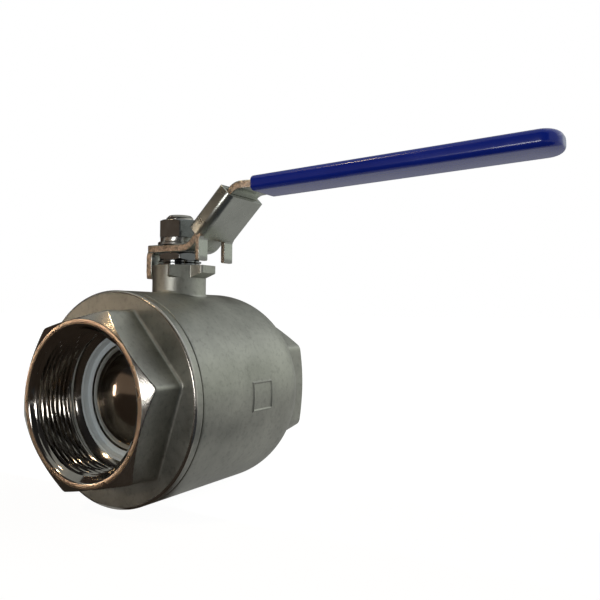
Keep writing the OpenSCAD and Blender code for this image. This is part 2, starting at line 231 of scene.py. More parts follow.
def finish_piece(name, mesh, mats, body, sharp, hides=()):
    """Cleans a mesh and makes it a piece that rides on a body."""
    b = bmesh.new()
    b.from_mesh(mesh)
    bmesh.ops.remove_doubles(b, verts=b.verts, dist=2e-6)
    bmesh.ops.dissolve_degenerate(b, edges=b.edges, dist=1e-7)
    bmesh.ops.recalc_face_normals(b, faces=b.faces)
    b.to_mesh(mesh)
    b.free()
    for m in mats:
        mesh.materials.append(m)
    mesh.polygons.foreach_set("use_smooth", [True] * len(mesh.polygons))
    mesh.set_sharp_from_angle(angle=math.radians(sharp))
    obj = bpy.data.objects.new(name, mesh)
    scene.collection.objects.link(obj)
    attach(obj, body)
    if hides:
        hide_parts(*hides)
    return obj


def solid(name, verts, faces, mats, body, sharp=38, hides=(), marks=None):
    """A piece from points in mm about the ball's centre. marks gives each face's material."""
    mesh = bpy.data.meshes.new(name)
    mesh.from_pydata([place(v) for v in verts], [], faces)
    if marks:
        mesh.polygons.foreach_set("material_index", marks)
    if not isinstance(mats, (list, tuple)):
        mats = [mats]
    return finish_piece(name, mesh, mats, body, sharp, hides)


def rings_to_faces(rings, closed=True, caps=True):
    """Faces between successive rings of points."""
    n = len(rings[0])
    faces = []
    for i in range(len(rings) - 1):
        a, b = i * n, (i + 1) * n
        for j in range(n if closed else n - 1):
            k = (j + 1) % n
            faces.append((a + j, a + k, b + k, b + j))
    if caps:
        faces.append(tuple(reversed(range(n))))
        faces.append(tuple((len(rings) - 1) * n + j for j in range(n)))
    return faces


def loft(name, rings, mats, body, sharp=38, hides=(), caps=True, mark=None):
    """A piece from rings of points. mark(ring, segment) gives a face's material, ring -1 a cap's."""
    verts = [p for ring in rings for p in ring]
    faces = rings_to_faces(rings, caps=caps)
    marks = None
    if mark:
        n = len(rings[0])
        marks = [mark(i // n, i % n) if i < (len(rings) - 1) * n else mark(-1, i)
                 for i in range(len(faces))]
    return solid(name, verts, faces, mats, body, sharp, hides, marks)


def smooth_max(a, b, k):
    """The larger value, blended where the two are within k of each other."""
    h = max(k - abs(a - b), 0) / k
    return max(a, b) + h * h * k / 4


def smooth_min(a, b, k):
    return -smooth_max(-a, -b, k)


def hexagon(angle, corner, half, soft):
    """Radius of a hexagon whose corners are rounded; half is half the width across flats."""
    step = TAU / 6
    a = (angle - corner) % step - step / 2
    return smooth_min(half / math.cos(a),
                      smooth_min(half / math.cos(step - a), half / math.cos(step + a), soft), soft)


def thread_profile(phase):
    """Height of a thread, 0 at its root and 1 at its crest, with small flats."""
    t = abs((phase % 1) - 0.5) * 2
    return min(max((t - 0.06) / 0.88, 0), 1)


def steps(a, b, size):
    """Even steps from a to b, none longer than size."""
    n = max(int(math.ceil(abs(b - a) / size)), 1)
    return [a + (b - a) * i / n for i in range(n + 1)]


def about_pipe(rows, count, sign):
    """Rings about the pipe axis from rows, each a function of the angle giving (radius, y)."""
    rings = []
    for row in rows:
        ring = []
        for j in range(count):
            t = TAU * j / count
            r, y = row(t)
            ring.append((r * math.cos(t), sign * y, r * math.sin(t)))
        rings.append(ring)
    return rings


def circle(r, z, count):
    """A level circle of points about the stem axis."""
    return [(r * math.cos(TAU * j / count), r * math.sin(TAU * j / count), z) for j in range(count)]


def about_stem(profile, count=96):
    """Rings about the stem axis from (radius, z)."""
    return [circle(r, z, count) for r, z in profile]


# ---------------------------------------------------------------- pipe ends

SEGMENTS = 432
CAST_FACE, RING_FACE, THREAD_FACE, BORE_FACE, TURNED_FACE = range(5)


def turned(r, y):
    """A row that is the same all the way round."""
    return lambda t: (r, y)


def joined(*parts):
    """Rows and marks of several parts, end to end."""
    return [row for rows, _ in parts for row in rows], [m for _, marks in parts for m in marks]


def bore_rows(face):
    """Rows and marks of one port, from its face in to the seat."""
    end = face - THREAD_LEN

    def threaded(y):
        def row(t):
            depth = THREAD_H * min(max((y - end) / 3.5, 0), 1)
            r = CREST_R + THREAD_H - depth * thread_profile(y / PITCH - t / TAU)
            mouth = CREST_R + 0.4 + (y - (face - 4))
            return (smooth_max(r, mouth, 0.3), y)
        return row

    ring = [turned(46.6, face)]
    thread = [turned(46.1, face - 0.25)]
    thread += [threaded(y) for y in steps(face - 0.6, end, 0.24)]
    thread += [turned(RELIEF_R, end - 0.6), turned(RELIEF_R, LIP_Y + 3.0),
               turned(RELIEF_R - 0.5, LIP_Y + 2.8), turned(COLLAR_R + 0.4, LIP_Y + 0.3),
               turned(COLLAR_R + 0.05, LIP_Y)]
    bore = [turned(COLLAR_R + 0.05, SEAT_Y), turned(THROAT_R + 5, SEAT_Y)]
    marks = [RING_FACE] + [THREAD_FACE] * len(thread) + [BORE_FACE] * len(bore)
    return ring + thread + bore, marks


def cone_r(face, y):
    """Radius of the cone that turns back a wrench hexagon's corners."""
    return RING_R + (face - y) / CONE_SLOPE


def wrench_rows(face, y0, corner, floor_r, soft):
    """Rows of a wrench hexagon from y0 out to its face. floor_r(y) is what it grows out of."""
    def flats(y):
        def row(t):
            r = hexagon(t, corner, HEX_AF / 2, soft)
            cone = cone_r(face, y)
            r = smooth_min(r, cone, 0.5) if cone < 70 else r
            return (max(smooth_max(floor_r(y), r, 3.0), 20), y)
        return row

    # rows crowd together where the turned corners begin
    ys = steps(y0, face - 8, 0.7)[:-1] + steps(face - 8, face - 0.2, 0.25) + [face]
    rows = [flats(y) for y in ys] + [turned(RING_R - 0.15, face)]
    return rows, [CAST_FACE] * len(ys) + [RING_FACE]


def pipe_end(name, parts, sign, face, corner, node):
    """One end of the pipe, from the rows of its parts."""
    rows, marks = joined(*parts)
    rings = about_pipe(rows, SEGMENTS, sign)

    def mark(i, j):
        m = marks[i + 1]
        if m == CAST_FACE:
            t = TAU * (j + 0.5) / SEGMENTS
            y = abs(rings[i][j][1])
            if face - y < 6 and hexagon(t, corner, HEX_AF / 2, HEX_SOFT) > cone_r(face, y) - 0.2:
                return TURNED_FACE
        return m

    loft(name, rings, [CAST, RING, THREAD, MACHINED, MACHINED], "valve_body", 40,
         (node,), caps=False, mark=mark)


# The cap: a plain ring at the joint, a rounded flange, then the hexagon.
CAP_CORNER = math.radians(12)
JOINT_R = 60.6          # the cap's plug, which goes into the body
FLANGE_ROUND = 1.5
ROOT = 1.8              # fillet where the hexagon leaves the flange
ROUND_STEPS = 6
ROUND = [math.radians(90 * k / ROUND_STEPS) for k in range(ROUND_STEPS + 1)]


def flange_row(w):
    """Across the flange's face, from its round edge at w = 0 to the hexagon's fillet at w = 1."""
    return lambda t: ((BARREL_R - FLANGE_ROUND) * (1 - w)
                      + (hexagon(t, CAP_CORNER, HEX_AF / 2, HEX_SOFT) + ROOT) * w, FLANGE_Y)


def root_row(a):
    """Round the fillet between the flange and the hexagon."""
    return lambda t: (hexagon(t, CAP_CORNER, HEX_AF / 2, HEX_SOFT) + ROOT * (1 - math.sin(a)),
                      FLANGE_Y + ROOT * (1 - math.cos(a)))


plug = [turned(JOINT_R, JOINT_Y - 12), turned(JOINT_R, JOINT_Y)]
side = [turned(BARREL_R - 0.5, JOINT_Y), turned(BARREL_R - 0.15, JOINT_Y + 0.15),
        turned(BARREL_R, JOINT_Y + 0.5)]
side += [turned(BARREL_R, y) for y in steps(JOINT_Y + 1.2, FLANGE_Y - 1.7, 1.2)]
edge = [turned(BARREL_R - FLANGE_ROUND + FLANGE_ROUND * math.cos(a),
               FLANGE_Y - FLANGE_ROUND + FLANGE_ROUND * math.sin(a)) for a in ROUND]
front = [flange_row(k / 7) for k in range(1, 7)] + [root_row(a) for a in ROUND]
pipe_end("cap_casting",
         [(plug, [BORE_FACE] * len(plug)), (side, [CAST_FACE] * len(side)),
          (edge, [CAST_FACE] + [BORE_FACE] * ROUND_STEPS), (front, [CAST_FACE] * len(front)),
          wrench_rows(CAP_FACE, FLANGE_Y + ROOT + 0.4, CAP_CORNER, lambda y: 0.0, HEX_SOFT),
          bore_rows(CAP_FACE)],
         -1, CAP_FACE, CAP_CORNER, "end_cap")

# The body: joint face, barrel, rounded shoulder and the far hexagon.
BODY_CORNER = math.radians(30)
BODY_JOINT = -JOINT_Y + GROOVE


def shoulder(y):
    """The barrel's radius, which rounds off towards the far end."""
    if y <= SHOULDER_Y:
        return BARREL_R
    d = min(y - SHOULDER_Y, SHOULDER_R)
    return BARREL_R - SHOULDER_R + math.sqrt(SHOULDER_R ** 2 - d * d)


barrel = [turned(61.2, BODY_JOINT), turned(BARREL_R - 0.5, BODY_JOINT),
          turned(BARREL_R - 0.15, BODY_JOINT + 0.15), turned(BARREL_R, BODY_JOINT + 0.5)]
barrel += [turned(BARREL_R, y) for y in steps(BODY_JOINT + 2, SHOULDER_Y, 2.5)]
pipe_end("body_casting",
         [(barrel, [CAST_FACE] * len(barrel)),
          wrench_rows(BODY_FACE, SHOULDER_Y + 0.7, BODY_CORNER, shoulder, 3.0),
          bore_rows(BODY_FACE)],
         1, BODY_FACE, BODY_CORNER, "body")

# The neck, with a cast fillet where it stands on the barrel.
FILLET = 2.0
FILLET_STEPS = 8
columns = []
for j in range(144):
    t = TAU * j / 144
    cx, cy = (NECK_R + FILLET) * math.cos(t), (NECK_R + FILLET) * math.sin(t)
    centre = Vector((cx, cy, math.sqrt((BARREL_R + FILLET) ** 2 - cx * cx)))
    foot = Vector((-cx, 0, -centre.z)).normalized()
    side = Vector((-math.cos(t), -math.sin(t), 0))
    column = [centre + foot * (FILLET + 0.25)]
    for k in range(FILLET_STEPS + 1):
        w = k / FILLET_STEPS
        column.append(centre + (foot * (1 - w) + side * w).normalized() * FILLET)
    column.append(Vector((NECK_R * math.cos(t), NECK_R * math.sin(t), 82.0)))
    columns.append([tuple(p) for p in column])
loft("neck_casting", list(zip(*columns)), CAST, "valve_body", 60, caps=False)


def mesh_of(verts, faces):
    """A loose mesh with its faces turned outwards, for booleans."""
    mesh = bpy.data.meshes.new("scratch")
    mesh.from_pydata([place(v) for v in verts], [], faces)
    b = bmesh.new()
    b.from_mesh(mesh)
    bmesh.ops.recalc_face_normals(b, faces=b.faces)
    b.to_mesh(mesh)
    b.free()
    return mesh


def lofted_mesh(rings, caps=False):
    """A loose mesh from rings of points."""
    return mesh_of([p for ring in rings for p in ring], rings_to_faces(rings, caps=caps))


def prism(outline, z0, z1):
    """Upright prism from an (x, y) outline."""
    n = len(outline)
    verts = [(x, y, z0) for x, y in outline] + [(x, y, z1) for x, y in outline]
    faces = [tuple(reversed(range(n))), tuple(range(n, 2 * n))]
    faces += [(i, (i + 1) % n, n + (i + 1) % n, n + i) for i in range(n)]
    return mesh_of(verts, faces)


def combined(base, others, bevel=0.0, segments=3, limit=32):
    """Base mesh after booleans and a bevel. others is a list of (operation, mesh)."""
    obj = bpy.data.objects.new("scratch", base)
    scene.collection.objects.link(obj)
    made = [obj]
    for operation, mesh in others:
        tool = bpy.data.objects.new("scratch", mesh)
        scene.collection.objects.link(tool)
        made.append(tool)
        m = obj.modifiers.new("b", "BOOLEAN")
        m.operation = operation
        m.solver = "EXACT"
        m.object = tool
    if bevel:
        m = obj.modifiers.new("v", "BEVEL")
        m.width = bevel / 1000
        m.segments = segments
        m.limit_method = "ANGLE"
        m.angle_limit = math.radians(limit)
        m.use_clamp_overlap = True
    bpy.context.view_layer.update()
    result = bpy.data.meshes.new_from_object(obj.evaluated_get(bpy.context.evaluated_depsgraph_get()))
    for o in made:
        bpy.data.objects.remove(o)
    return result


def rounded(points, radii, n=5):
    """Outline with its corners rounded."""
    out = []
    count = len(points)
    for i, (p, r) in enumerate(zip(points, radii)):
        p = Vector((*p, 0))
        a = Vector((*points[i - 1], 0)) - p
        b = Vector((*points[(i + 1) % count], 0)) - p
        if r <= 0:
            out.append((p.x, p.y))
            continue
        a.normalize()
        b.normalize()
        half = a.angle(b) / 2
        run = r / math.tan(half)
        centre = p + (a + b).normalized() * (r / math.sin(half))
        s, e = p + a * run, p + b * run
        for k in range(n + 1):
            w = k / n
            d = ((s - centre) * (1 - w) + (e - centre) * w).normalized()
            out.append((centre.x + d.x * r, centre.y + d.y * r))
    return out


# The stem pad: two lock ears and two stop lugs, with a sloping underside.
ROOM_R = 14.2           # the packing's room inside the neck
corners = [(-6.0, 6.3), (-24.1, 6.3), (-7.8, 16.2), (-7.8, 26.5), (7.8, 26.5), (7.8, 7.8),
           (26.5, 7.8), (26.5, -7.8), (16.2, -7.8), (6.3, -24.1), (6.3, -6.0), (-6.0, -6.0)]
radii = [0, 1.6, 2.5, 2.0, 2.0, 9.0, 2.0, 2.0, 2.5, 1.6, 0, 0]
pad = prism(rounded(corners, radii), 76.0, PAD_TOP)
under = about_stem([(0.01, 76.5), (NECK_R, 77.5), (28.3, 81.3), (34, 81.4), (34, 90), (0.01, 90)])
drum = about_stem([(0.01, 70), (NECK_R, 70), (NECK_R, PAD_TOP), (0.01, PAD_TOP)])
room = about_stem([(0.01, 68), (ROOM_R, 68), (ROOM_R, 90), (0.01, 90)])
mesh = combined(pad, [("INTERSECT", lofted_mesh(under)), ("UNION", lofted_mesh(drum)),
                      ("DIFFERENCE", lofted_mesh(room))], bevel=0.55)
finish_piece("pad_casting", mesh, [CAST], "valve_body", 38)

# Blank panel on the barrel's side: a low rim round a flat field.
PANEL_Y, PANEL_A = 6.2, math.radians(0.3)
HALF_Y, HALF_A = 11.2, math.radians(8.6)
RIM_HEIGHT = 0.75
SPREAD = 1.06           # the patch reaches a little past the rim
PANEL_STEPS = 60


def panel_height(inside):
    """Height over the barrel at a distance inside the rim's outer edge."""
    if inside <= -0.3:
        return -0.1
    rim = max(0.0, 1 - abs(inside - 1.0))
    field = 0.08 if inside > 0.9 else 0.0
    return -0.03 + RIM_HEIGHT * rim * rim * (3 - 2 * rim) + field


rings = []
for i in range(PANEL_STEPS + 1):
    y = PANEL_Y + HALF_Y * SPREAD * (2 * i / PANEL_STEPS - 1)
    ring = []
    for j in range(PANEL_STEPS + 1):
        a = HALF_A * SPREAD * (2 * j / PANEL_STEPS - 1)
        inside = min(HALF_Y - abs(y - PANEL_Y), (HALF_A - abs(a)) * BARREL_R)
        r = shoulder(y) + panel_height(inside)
        ring.append((r * math.cos(PANEL_A + a), y, r * math.sin(PANEL_A + a)))
    rings.append(ring)
verts = [p for ring in rings for p in ring]
faces = rings_to_faces(rings, closed=False, caps=False)
solid("panel_casting", verts, faces, CAST, "valve_body", 60)


# ---------------------------------------------------------------- ball and seats

BALL_STEPS = 120
SLOT_HALF, SLOT_FLOOR = 6.15, 47.9      # the slot in the ball's top that takes the stem's tang
SLOT_REACH = 57


def about_x(profile, count):
    """Rings about the ball's port from (radius, x)."""
    return [[(x, r * math.cos(TAU * j / count), r * math.sin(TAU * j / count))
             for j in range(count)] for r, x in profile]


port_edge = math.asin(PORT_R / BALL_R)
profile = []
for i in range(BALL_STEPS + 1):
    a = port_edge + (math.pi - 2 * port_edge) * i / BALL_STEPS
    profile.append((BALL_R * math.sin(a), BALL_R * math.cos(a)))
profile += [(PORT_R, x) for x in (-30, 0, 30)]
slot = prism([(-SLOT_HALF, -SLOT_REACH), (SLOT_HALF, -SLOT_REACH), (SLOT_HALF, SLOT_REACH),
              (-SLOT_HALF, SLOT_REACH)], SLOT_FLOOR, 60)
mesh = combined(lofted_mesh(about_x(profile + profile[:1], 240)), [("DIFFERENCE", slot)])
finish_piece("ball_polished", mesh, [POLISHED], "ball", 30, ("ball",))

# A seat's section as (radius, y): its step, collar and lip, then the cone that faces the ball.
SEAT_BACK_R, SEAT_BACK_Y = 45, 38
FACE_CONE = (BALL_R + 0.3) * math.sqrt(2)
seat = [(PORT_R, SEAT_STEP - 0.2), (PORT_R + 0.2, SEAT_STEP), (THROAT_R - 1.1, SEAT_STEP),
        (THROAT_R - 0.95, SEAT_STEP - 0.35), (THROAT_R - 0.8, SEAT_STEP), (THROAT_R, LIP_Y - 0.35),
        (THROAT_R + 0.25, LIP_Y - 0.1), (COLLAR_R, LIP_Y - 0.1), (COLLAR_R, SEAT_Y - 0.02),
        (SEAT_BACK_R, SEAT_Y - 0.02), (SEAT_BACK_R, SEAT_BACK_Y),
        (FACE_CONE - SEAT_BACK_Y, SEAT_BACK_Y), (PORT_R, FACE_CONE - PORT_R)]
for node, sign in (("seat_ring_cap", -1), ("seat_ring_body", 1)):
    rings = about_pipe([turned(r, y) for r, y in seat + seat[:1]], 216, sign)
    loft(node + "_turned", rings, PTFE, "valve_body", 30, (node,), caps=False)


# ---------------------------------------------------------------- lever

def path_point(mid, tangent, u, v):
    """A point of a section at a place on a path: u across the plate, v out of it."""
    normal = Vector((-tangent.z, 0, tangent.x))
    return mid + Vector((0, u, 0)) + normal * v


def swept(sections):
    """Rings from (middle, tangent, section)."""
    return [[tuple(path_point(m, t, u, v)) for u, v in prof] for m, t, prof in sections]


def section(half, thick, top_r, bottom_r, n=4):
    """Rectangle across the plate with rounded edges, as (u, v), starting on the -Y side."""
    pts = []
    for sx, sz, r in ((-1, -1, bottom_r), (1, -1, bottom_r), (1, 1, top_r), (-1, 1, top_r)):
        cx, cz = sx * (half - r), sz * (thick / 2 - r)
        a0 = {(-1, -1): 180, (1, -1): 270, (1, 1): 0, (-1, 1): 90}[(sx, sz)]
        for k in range(n + 1):
            a = math.radians(a0 + 90 * k / n)
            pts.append((cx + r * math.cos(a), cz + r * math.sin(a)))
    return pts


def lever_path():
    """Stations (middle, tangent) along the plate from its back end to the grip's tip."""
    flat = Vector((1, 0, 0))
    low_run = BEND_R * math.tan(SLOPE / 2)
    high_run = BEND_R * math.tan((SLOPE - RISE) / 2)
    xs = steps(LEVER_BACK, LOW_BEND.x - low_run, 6)
    xs.insert(1, LEVER_BACK + 1.0)
    out = [(Vector((x, 0, LEVER_MID)), flat) for x in xs]
    centre = LOW_BEND + Vector((-low_run, 0, BEND_R))
    for k in range(1, BEND_STEPS + 1):
        a = SLOPE * k / BEND_STEPS
        out.append((centre + Vector((math.sin(a), 0, -math.cos(a))) * BEND_R,
                    Vector((math.cos(a), 0, math.sin(a)))))
    for s in steps(low_run, SLOPE_LEN - high_run, 6)[1:]:
        out.append((LOW_BEND + s * ALONG, ALONG))
    centre = HIGH_BEND - high_run * ALONG + BEND_R * BELOW
    for k in range(1, BEND_STEPS + 1):
        a = SLOPE + (RISE - SLOPE) * k / BEND_STEPS
        out.append((centre + Vector((-math.sin(a), 0, math.cos(a))) * BEND_R,
                    Vector((math.cos(a), 0, math.sin(a)))))
    tip = (TIP_X - HIGH_BEND.x) / math.cos(RISE)
    for s in steps(high_run, tip, 3)[1:]:
        out.append((HIGH_BEND + s * GRIP_DIR, GRIP_DIR))
    return out


def plate_half(x):
    """Half the plate's width: wide at the stem, narrower in the grip, round at the tip."""
    if x > TIP_X - TIP_R:
        d = min(x - (TIP_X - TIP_R), TIP_R - 0.1)
        return GRIP_HALF - TIP_R + math.sqrt(TIP_R ** 2 - d * d)
    if x < LEVER_BACK + 1.0:
        return LEVER_HALF - 0.6 + 0.6 * (x - LEVER_BACK)
    w = min(max((x - 62) / 6.5, 0), 1)
    w = w * w * (3 - 2 * w)
    return LEVER_HALF + (GRIP_HALF - LEVER_HALF) * w


def lever_mark(i, j):
    """The edges are sheared: the faces between the rounded corners on either side."""
    return 1 if i < 0 or j in (9, 19) else 0


rings = swept((m, t, section(plate_half(m.x), LEVER_T, 0.8, 0.45)) for m, t in lever_path())
loft("lever_plate", rings, [SHEET_STEEL, SHEARED], "handle", 45, ("lever",),
     mark=lever_mark)

# The stop tongue, bent down behind the stem.
TONGUE_HALF, TONGUE_END = 6.0, 77.9
TONGUE_IN_R = 2.5
TONGUE_R = TONGUE_IN_R + LEVER_T / 2
DOWN = Vector((0, 0, -1))
centre = Vector((-18.1, 0, LEVER_Z - TONGUE_IN_R))
path = [(Vector((-14.0, 0, LEVER_MID)), Vector((-1, 0, 0)))]
for k in range(9):
    a = math.radians(90 * k / 8)
    path.append((centre + Vector((-math.sin(a), 0, math.cos(a))) * TONGUE_R,
                 Vector((-math.cos(a), 0, -math.sin(a)))))
for z in steps(centre.z, TONGUE_END, 5)[1:]:
    path.append((Vector((centre.x - TONGUE_R, 0, z)), DOWN))
sections = [(m, t, section(TONGUE_HALF, LEVER_T, 0.6, 0.6)) for m, t in path[:-1]]
m, t = path[-1]
sections.append((m, t, section(TONGUE_HALF - 0.4, LEVER_T, 0.6, 0.6)))
sections.append((m + 0.5 * DOWN, t, section(TONGUE_HALF - 0.8, LEVER_T - 1.0, 0.6, 0.6)))
loft("stop_tongue", swept(sections), [SHEET_STEEL, SHEARED], "handle", 45,
     mark=lever_mark)

# The dipped grip: soft edges, a bead at its mouth and a rounded tip.
EDGE_R, END_R = 3.4, 10.3
HALF_T = LEVER_T / 2 + SLEEVE_T
HALF_W = GRIP_HALF + SLEEVE_T
mouth = (SLEEVE_LO.x + 0.2 - HIGH_BEND.x) / math.cos(RISE)
tip = (SLEEVE_HI.x - HIGH_BEND.x) / math.cos(RISE) - 0.02
stations = [(mouth + d, HALF_W + grow, HALF_T + grow, max(EDGE_R + grow, 0.6))
            for d, grow in ((0, -2.2), (0.02, -1.0), (0.35, -0.45), (0.9, -0.1), (1.6, 0.0))]
stations += [(s, HALF_W, HALF_T, EDGE_R) for s in steps(mouth + 5, tip - 11, 4)]
for degrees in range(6, 91, 6):
    a = math.radians(degrees)
    half = HALF_W - END_R + END_R * math.cos(a)
    thick = HALF_T - 2.6 * (1 - math.cos(a)) ** 1.2
    stations.append((tip - END_R + END_R * math.sin(a), half, thick,
                     min(EDGE_R, thick - 0.2, half - 0.2)))
rings = swept((HIGH_BEND + s * GRIP_DIR, GRIP_DIR, section(half, 2 * thick, r, r, 7))
              for s, half, thick, r in stations)
loft("grip_dipped", rings, VINYL, "handle", 60, ("grip_sleeve",))


# ---------------------------------------------------------------- lock

def lock_outline():
    """C-shaped section of the lock as (u, v): it wraps the plate and is open on top."""
    out_v = LEVER_T / 2 + LOCK_GAP + SHEET
    in_v, in_u = out_v - SHEET, LOCK_HALF - SHEET
    lip = 8.0           # where the folded-over edges stop, from the middle

    def half(top_r, low_r):
        side = [(lip, out_v)]
        for k in range(9):
            a = math.radians(90 - 90 * k / 8)
            side.append((LOCK_HALF - top_r + top_r * math.cos(a), out_v - top_r + top_r * math.sin(a)))
        for k in range(13):
            a = math.radians(-90 * k / 12)
            side.append((LOCK_HALF - low_r + low_r * math.cos(a), -out_v + low_r + low_r * math.sin(a)))
        return side

    # the near side's lower bend is the wide one
    outer = half(2.6, 1.6) + [(-u, v) for u, v in reversed(half(2.0, 5.0))]
    right = [(lip, in_v), (in_u, in_v), (in_u, -in_v)]
    inner = right + [(-u, v) for u, v in reversed(right)]
    return outer + list(reversed(inner))


rings = swept((LOW_BEND + s * ALONG, ALONG, lock_outline())
              for s in (LOCK_START, LOCK_START + LOCK_LEN))
mesh = combined(lofted_mesh(rings, caps=True), [], bevel=0.35, segments=2, limit=50)
finish_piece("lock_clip", mesh, [SHEET_STEEL], "lock", 40, ("lock_slide",))

# Prongs that come off the clip's underside and turn straight down.
PRONG_X = 29.0 + SHEET / 2
PRONG_IN = 9.0          # half the gap between the prongs
PRONG_HALF = (LOCK_HALF - PRONG_IN) / 2
PRONG_R = 2.2 + SHEET / 2
under = BELOW * (LEVER_T / 2 + LOCK_GAP + SHEET / 2)
meet = LOW_BEND + (PRONG_X - LOW_BEND.x - under.x) / ALONG.x * ALONG + under
run = PRONG_R * math.tan(SLOPE / 2)
centre = meet + ALONG * run + BELOW * PRONG_R
path = [(meet + ALONG * (run + 1.2), -ALONG)]
for k in range(7):
    a = SLOPE + SLOPE * k / 6
    path.append((centre + Vector((-math.sin(a), 0, math.cos(a))) * PRONG_R,
                 Vector((-math.cos(a), 0, -math.sin(a)))))
path += [(Vector((path[-1][0].x, 0, z)), DOWN) for z in (98.0, 92.0, 88.6)]
for tag, side in (("near", -1), ("far", 1)):
    shift = Vector((0, side * (PRONG_IN + LOCK_HALF) / 2, 0))
    # the first two sections lie in the clip and are slimmer
    sections = [(m + shift, t, section(PRONG_HALF - 0.15, SHEET - 0.25, 0.35, 0.35))
                for m, t in path[:2]]
    sections += [(m + shift, t, section(PRONG_HALF, SHEET, 0.35, 0.35)) for m, t in path[2:]]
    sections.append((path[-1][0] + shift + 0.5 * DOWN, DOWN,
                     section(PRONG_HALF - 0.5, SHEET - 0.8, 0.3, 0.3)))
    loft("lock_prong_" + tag, swept(sections), [SHEET_STEEL, SHEARED], "lock", 40,
         mark=lever_mark)


# ---------------------------------------------------------------- stem, nuts and washers

NUT_AF = 27
NUT_TURN = math.radians(11.5)
CHAMFER = 0.5           # how the nuts' corners are turned down


def nut_rings(z0, z1, bore_r, both):
    """Hexagon nut with its top or both faces chamfered, as rings about the stem."""
    face_r = NUT_AF / 2 * 0.95
    n = 288
    zs = ([z0] + steps(z0 + 0.02, z0 + 2.2, 0.11) + steps(z0 + 2.6, z1 - 2.6, 1.0)
          + steps(z1 - 2.2, z1 - 0.02, 0.11) + [z1])
    rings = []
    for z in zs:
        ring = []
        for j in range(n):
            t = TAU * j / n
            r = smooth_min(hexagon(t, NUT_TURN, NUT_AF / 2, 0.5), face_r + (z1 - z) / CHAMFER, 0.25)
            if both:
                r = smooth_min(r, face_r + (z - z0) / CHAMFER, 0.25)
            ring.append((r * math.cos(t), r * math.sin(t), z))
        rings.append(ring)
    rings += about_stem([(face_r - 0.2, z1), (bore_r + 0.9, z1), (bore_r, z1 - 0.9),
                         (bore_r, z0 + 0.5), (bore_r + 0.5, z0), (face_r - 0.2, z0)], n)
    return rings + rings[:1]


# The top nut is drawn lower at its foot than in the CAD, and the split washer thinner by as much.
NUT_SINK = 1.2
rings = nut_rings(NUT_LO.z - NUT_SINK, NUT_HI.z, 8.8, both=False)
loft("top_nut", rings, NUT_STEEL, "handle", 34, ("handle_nut",), caps=False)
rings = nut_rings(PACK_LO.z, PACK_HI.z, 9.05, both=True)
loft("gland_nut", rings, NUT_STEEL, "handle", 34, ("packing_nut",), caps=False)

# Plain washer with rolled edges.
low, top = PLAIN_LO.z, PLAIN_HI.z
profile = [(9.3, low), (14.8, low), (15, low + 0.2), (15, top - 0.5), (14.9, top - 0.2),
           (14.6, top), (9.5, top), (9.3, top - 0.2), (9.3, low)]
loft("flat_washer", about_stem(profile, 144), BRIGHT, "handle", 30,
     ("plain_washer",), caps=False)

# Split washer: its ends are cut at a slant and stand a little apart.
SPLIT_AT, SPLIT_GAP = math.radians(200), math.radians(4)
SPLIT_STEPS = 120
low, top = SPLIT_LO.z, SPLIT_HI.z - NUT_SINK
profile = [(9.3, low + 0.3), (9.6, low), (13.1, low), (13.4, low + 0.3), (13.4, top - 0.3),
           (13.1, top), (9.6, top), (9.3, top - 0.3)]
rings = []
for k in range(SPLIT_STEPS + 1):
    t = SPLIT_AT + SPLIT_GAP + (TAU - 2 * SPLIT_GAP) * k / SPLIT_STEPS
    ring = []
    for r, z in profile:
        slant = (z - (low + top) / 2) * 0.04
        ring.append((r * math.cos(t + slant), r * math.sin(t + slant), z))
    rings.append(ring)
loft("split_washer", rings, BRIGHT, "handle", 30, ("spring_washer",))

# The stem's thread stands just outside the CAD stem and shows above the nut.
STEM_THREAD_R, STEM_THREAD_H, STEM_PITCH = 9.03, 0.45, 2.5
top = STEM_TOP + 0.4
rings = []
for z in steps(NUT_LO.z, top - 1.6, 0.2):
    ring = []
    for j in range(144):
        t = TAU * j / 144
        r = STEM_THREAD_R + STEM_THREAD_H * thread_profile(z / STEM_PITCH - t / TAU)
        ring.append((r * math.cos(t), r * math.sin(t), z))
    rings.append(ring)
rings += about_stem([(9.0, top - 1.45), (7.7, top - 0.12), (7.4, top), (1.2, top),
                     (0.01, top - 0.3)], 144)
loft("stem_thread", rings, MACHINED, "handle", 34, caps=False)


# ---------------------------------------------------------------- carried-over CAD nodes

PAINT = {
    "body_gasket": PTFE, "stem": MACHINED, "thrust_washer": PTFE, "stem_o_ring": RUBBER,
    "packing_lower": PTFE, "packing_middle": PTFE, "packing_upper": PTFE,
    "gland_follower": MACHINED, "disc_spring_lower": NUT_STEEL, "disc_spring_upper": NUT_STEEL,
}
for node, paint in PAINT.items():
    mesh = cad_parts[node].data
    mesh.materials.clear()
    mesh.materials.append(paint)


# ---------------------------------------------------------------- floor, light and camera

FLOOR_Z = MIDDLE.z - BARREL_R / 1000


def card(name, centre, normal, width, height, colour, strength):
    """A board for the metal to reflect. The camera doesn't see it, and it casts no shadow."""
    mesh = bpy.data.meshes.new(name)
    x, y = width / 2, height / 2
    mesh.from_pydata([(-x, -y, 0), (x, -y, 0), (x, y, 0), (-x, y, 0)], [], [(0, 1, 2, 3)])
    obj = bpy.data.objects.new(name, mesh)
    scene.collection.objects.link(obj)
    obj.location = centre
    obj.rotation_mode = "QUATERNION"
    obj.rotation_quaternion = Vector(normal).to_track_quat("Z", "Y")
    m = bpy.data.materials.new(name)
    m.use_nodes = True
    tree = m.node_tree
    tree.nodes.clear()
    out = tree.nodes.new("ShaderNodeOutputMaterial")
    glow = tree.nodes.new("ShaderNodeEmission")
    glow.inputs["Color"].default_value = (*colour, 1)
    glow.inputs["Strength"].default_value = strength
    tree.links.new(glow.outputs["Emission"], out.inputs["Surface"])
    mesh.materials.append(m)
    obj.visible_camera = False
    obj.visible_shadow = False


